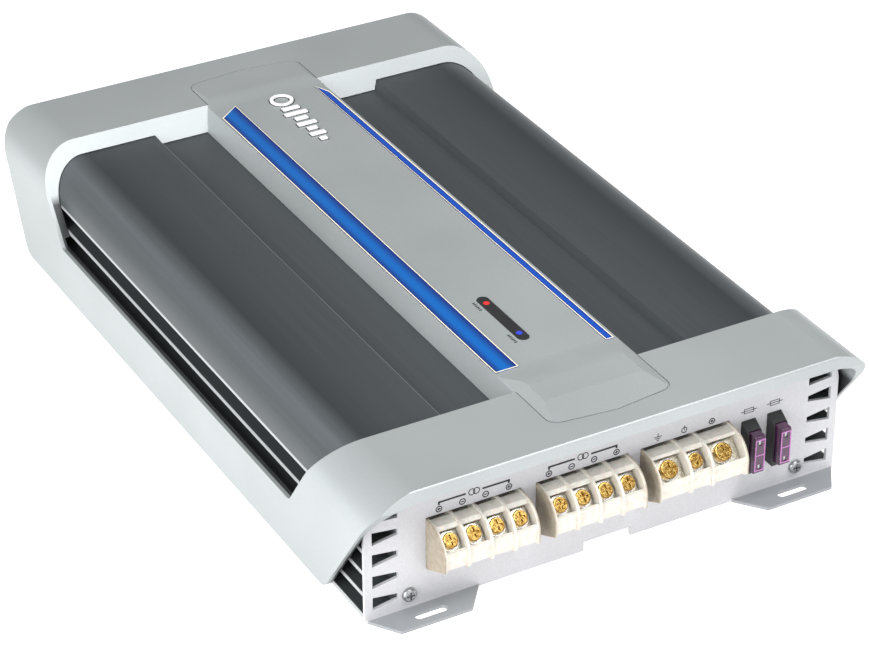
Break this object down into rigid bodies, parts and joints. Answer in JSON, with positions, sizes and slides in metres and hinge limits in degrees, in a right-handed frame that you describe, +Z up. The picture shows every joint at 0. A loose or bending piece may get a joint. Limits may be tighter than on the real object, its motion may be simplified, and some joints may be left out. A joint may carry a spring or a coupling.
{
  "type": "car audio amplifier",
  "caption": "Flat car audio amplifier with finned heatsink case, raised shroud, tilted screw terminals, blade fuses and an input panel.",
  "frame": {"origin": "centre of the four mounting slots, on the plane the feet stand on", "axes": "+X to the right along the terminal panel, +Y from the terminal end to the input end, +Z up"},
  "size_m": [0.2496, 0.394, 0.0736],
  "materials": {
    "anodised_dark": "dark grey anodised extrusion",
    "steel_sheet": "plain zinc-plated sheet",
    "silver_paint": "light silver paint, satin",
    "silver_shroud": "satin silver",
    "strip_blue": "glossy blue",
    "lens": "dark window",
    "lamp": "lamp plastic",
    "badge_metal": "polished",
    "screw_steel": "plated steel",
    "board": "green solder mask",
    "winding": "enamelled copper winding",
    "can_sleeve": "shrink sleeve",
    "black_plastic": "black moulding",
    "pad_rubber": "grey thermal pad",
    "cream_plastic": "ivory moulding",
    "gold": "gold plated",
    "fuse_plastic": "violet translucent plastic"
  },
  "bodies": {
    "chassis": {"heatsink": "anodised_dark", "bottom_cover": "steel_sheet", "front_end_plate": "silver_paint", "rear_end_plate": "silver_paint", "shroud": "silver_shroud", "accent_strip_wide": "strip_blue", "accent_strip_narrow": "strip_blue", "indicator_lens": "lens", "indicator_lamps": "lamp", "badge": "badge_metal", "case_screws": "screw_steel", "circuit_board": "board", "toroid_transformers": "winding", "filter_capacitors": "can_sleeve", "output_coils": "winding", "power_transistors": "black_plastic", "insulator_strips": "pad_rubber", "clamp_bars": "screw_steel", "speaker_block_left": "cream_plastic", "speaker_block_right": "cream_plastic", "power_block": "cream_plastic", "terminal_contacts": "gold", "fuse_holders": "black_plastic", "fuse_clips": "gold", "input_block": "black_plastic", "input_shells": "gold", "control_pots": "steel_sheet", "switch_bodies": "black_plastic"},
    "clamp_washer_01": {"clamp_washer_01": "gold"},
    "terminal_screw_01": {"terminal_screw_01": "gold"},
    "clamp_washer_02": {"clamp_washer_02": "gold"},
    "terminal_screw_02": {"terminal_screw_02": "gold"},
    "clamp_washer_03": {"clamp_washer_03": "gold"},
    "terminal_screw_03": {"terminal_screw_03": "gold"},
    "clamp_washer_04": {"clamp_washer_04": "gold"},
    "terminal_screw_04": {"terminal_screw_04": "gold"},
    "clamp_washer_05": {"clamp_washer_05": "gold"},
    "terminal_screw_05": {"terminal_screw_05": "gold"},
    "clamp_washer_06": {"clamp_washer_06": "gold"},
    "terminal_screw_06": {"terminal_screw_06": "gold"},
    "clamp_washer_07": {"clamp_washer_07": "gold"},
    "terminal_screw_07": {"terminal_screw_07": "gold"},
    "clamp_washer_08": {"clamp_washer_08": "gold"},
    "terminal_screw_08": {"terminal_screw_08": "gold"},
    "clamp_washer_09": {"clamp_washer_09": "gold"},
    "terminal_screw_09": {"terminal_screw_09": "gold"},
    "clamp_washer_10": {"clamp_washer_10": "gold"},
    "terminal_screw_10": {"terminal_screw_10": "gold"},
    "clamp_washer_11": {"clamp_washer_11": "gold"},
    "terminal_screw_11": {"terminal_screw_11": "gold"},
    "fuse_1": {"fuse_body_1": "fuse_plastic", "fuse_blades_1": "screw_steel"},
    "fuse_2": {"fuse_body_2": "fuse_plastic", "fuse_blades_2": "screw_steel"},
    "control_knob_1": {"control_knob_1": "black_plastic"},
    "control_knob_2": {"control_knob_2": "black_plastic"},
    "control_knob_3": {"control_knob_3": "black_plastic"},
    "control_knob_4": {"control_knob_4": "black_plastic"},
    "switch_slider_1": {"switch_slider_1": "black_plastic"},
    "switch_slider_2": {"switch_slider_2": "black_plastic"}
  },
  "joints": [
    {"name": "clamp_travel_01", "type": "slide", "parent": "chassis", "child": "clamp_washer_01", "axis": [0, -0.7071, 0.7071], "range_m": [0, 0.0021]},
    {"name": "screw_turn_01", "type": "hinge", "parent": "clamp_washer_01", "child": "terminal_screw_01", "pos_m": [-0.0834, -0.18828, 0.03468], "axis": [0, -0.7071, 0.7071], "range_deg": [0, 1080]},
    {"name": "clamp_travel_02", "type": "slide", "parent": "chassis", "child": "clamp_washer_02", "axis": [0, -0.7071, 0.7071], "range_m": [0, 0.0021]},
    {"name": "screw_turn_02", "type": "hinge", "parent": "clamp_washer_02", "child": "terminal_screw_02", "pos_m": [-0.0722, -0.18828, 0.03468], "axis": [0, -0.7071, 0.7071], "range_deg": [0, 1080]},
    {"name": "clamp_travel_03", "type": "slide", "parent": "chassis", "child": "clamp_washer_03", "axis": [0, -0.7071, 0.7071], "range_m": [0, 0.0021]},
    {"name": "screw_turn_03", "type": "hinge", "parent": "clamp_washer_03", "child": "terminal_screw_03", "pos_m": [-0.061, -0.18828, 0.03468], "axis": [0, -0.7071, 0.7071], "range_deg": [0, 1080]},
    {"name": "clamp_travel_04", "type": "slide", "parent": "chassis", "child": "clamp_washer_04", "axis": [0, -0.7071, 0.7071], "range_m": [0, 0.0021]},
    {"name": "screw_turn_04", "type": "hinge", "parent": "clamp_washer_04", "child": "terminal_screw_04", "pos_m": [-0.0498, -0.18828, 0.03468], "axis": [0, -0.7071, 0.7071], "range_deg": [0, 1080]},
    {"name": "clamp_travel_05", "type": "slide", "parent": "chassis", "child": "clamp_washer_05", "axis": [0, -0.7071, 0.7071], "range_m": [0, 0.0021]},
    {"name": "screw_turn_05", "type": "hinge", "parent": "clamp_washer_05", "child": "terminal_screw_05", "pos_m": [-0.0302, -0.18828, 0.03468], "axis": [0, -0.7071, 0.7071], "range_deg": [0, 1080]},
    {"name": "clamp_travel_06", "type": "slide", "parent": "chassis", "child": "clamp_washer_06", "axis": [0, -0.7071, 0.7071], "range_m": [0, 0.0021]},
    {"name": "screw_turn_06", "type": "hinge", "parent": "clamp_washer_06", "child": "terminal_screw_06", "pos_m": [-0.019, -0.18828, 0.03468], "axis": [0, -0.7071, 0.7071], "range_deg": [0, 1080]},
    {"name": "clamp_travel_07", "type": "slide", "parent": "chassis", "child": "clamp_washer_07", "axis": [0, -0.7071, 0.7071], "range_m": [0, 0.0021]},
    {"name": "screw_turn_07", "type": "hinge", "parent": "clamp_washer_07", "child": "terminal_screw_07", "pos_m": [-0.0078, -0.18828, 0.03468], "axis": [0, -0.7071, 0.7071], "range_deg": [0, 1080]},
    {"name": "clamp_travel_08", "type": "slide", "parent": "chassis", "child": "clamp_washer_08", "axis": [0, -0.7071, 0.7071], "range_m": [0, 0.0021]},
    {"name": "screw_turn_08", "type": "hinge", "parent": "clamp_washer_08", "child": "terminal_screw_08", "pos_m": [0.0034, -0.18828, 0.03468], "axis": [0, -0.7071, 0.7071], "range_deg": [0, 1080]},
    {"name": "clamp_travel_09", "type": "slide", "parent": "chassis", "child": "clamp_washer_09", "axis": [0, -0.7071, 0.7071], "range_m": [0, 0.0021]},
    {"name": "screw_turn_09", "type": "hinge", "parent": "clamp_washer_09", "child": "terminal_screw_09", "pos_m": [0.02435, -0.18828, 0.03468], "axis": [0, -0.7071, 0.7071], "range_deg": [0, 1080]},
    {"name": "clamp_travel_10", "type": "slide", "parent": "chassis", "child": "clamp_washer_10", "axis": [0, -0.7071, 0.7071], "range_m": [0, 0.0021]},
    {"name": "screw_turn_10", "type": "hinge", "parent": "clamp_washer_10", "child": "terminal_screw_10", "pos_m": [0.03785, -0.18828, 0.03468], "axis": [0, -0.7071, 0.7071], "range_deg": [0, 1080]},
    {"name": "clamp_travel_11", "type": "slide", "parent": "chassis", "child": "clamp_washer_11", "axis": [0, -0.7071, 0.7071], "range_m": [0, 0.0021]},
    {"name": "screw_turn_11", "type": "hinge", "parent": "clamp_washer_11", "child": "terminal_screw_11", "pos_m": [0.0521, -0.18828, 0.03468], "axis": [0, -0.7071, 0.7071], "range_deg": [0, 1080]},
    {"name": "fuse_pull_1", "type": "slide", "parent": "chassis", "child": "fuse_1", "axis": [0, -1, 0], "range_m": [0, 0.02]},
    {"name": "fuse_pull_2", "type": "slide", "parent": "chassis", "child": "fuse_2", "axis": [0, -1, 0], "range_m": [0, 0.02]},
    {"name": "knob_turn_1", "type": "hinge", "parent": "chassis", "child": "control_knob_1", "pos_m": [-0.032, 0.1803, 0.034], "axis": [0, 1, 0], "range_deg": [-135, 135]},
    {"name": "knob_turn_2", "type": "hinge", "parent": "chassis", "child": "control_knob_2", "pos_m": [-0.012, 0.1803, 0.034], "axis": [0, 1, 0], "range_deg": [-135, 135]},
    {"name": "knob_turn_3", "type": "hinge", "parent": "chassis", "child": "control_knob_3", "pos_m": [0.034, 0.1803, 0.034], "axis": [0, 1, 0], "range_deg": [-135, 135]},
    {"name": "knob_turn_4", "type": "hinge", "parent": "chassis", "child": "control_knob_4", "pos_m": [0.054, 0.1803, 0.034], "axis": [0, 1, 0], "range_deg": [-135, 135]},
    {"name": "switch_slide_1", "type": "slide", "parent": "chassis", "child": "switch_slider_1", "axis": [1, 0, 0], "range_m": [0, 0.005]},
    {"name": "switch_slide_2", "type": "slide", "parent": "chassis", "child": "switch_slider_2", "axis": [1, 0, 0], "range_m": [0, 0.005]}
  ],
  "couplings": [
    {"joint": "screw_turn_01", "follows": "clamp_travel_01", "rad_per_m": 8975.9},
    {"joint": "screw_turn_02", "follows": "clamp_travel_02", "rad_per_m": 8975.9},
    {"joint": "screw_turn_03", "follows": "clamp_travel_03", "rad_per_m": 8975.9},
    {"joint": "screw_turn_04", "follows": "clamp_travel_04", "rad_per_m": 8975.9},
    {"joint": "screw_turn_05", "follows": "clamp_travel_05", "rad_per_m": 8975.9},
    {"joint": "screw_turn_06", "follows": "clamp_travel_06", "rad_per_m": 8975.9},
    {"joint": "screw_turn_07", "follows": "clamp_travel_07", "rad_per_m": 8975.9},
    {"joint": "screw_turn_08", "follows": "clamp_travel_08", "rad_per_m": 8975.9},
    {"joint": "screw_turn_09", "follows": "clamp_travel_09", "rad_per_m": 8975.9},
    {"joint": "screw_turn_10", "follows": "clamp_travel_10", "rad_per_m": 8975.9},
    {"joint": "screw_turn_11", "follows": "clamp_travel_11", "rad_per_m": 8975.9}
  ]
}
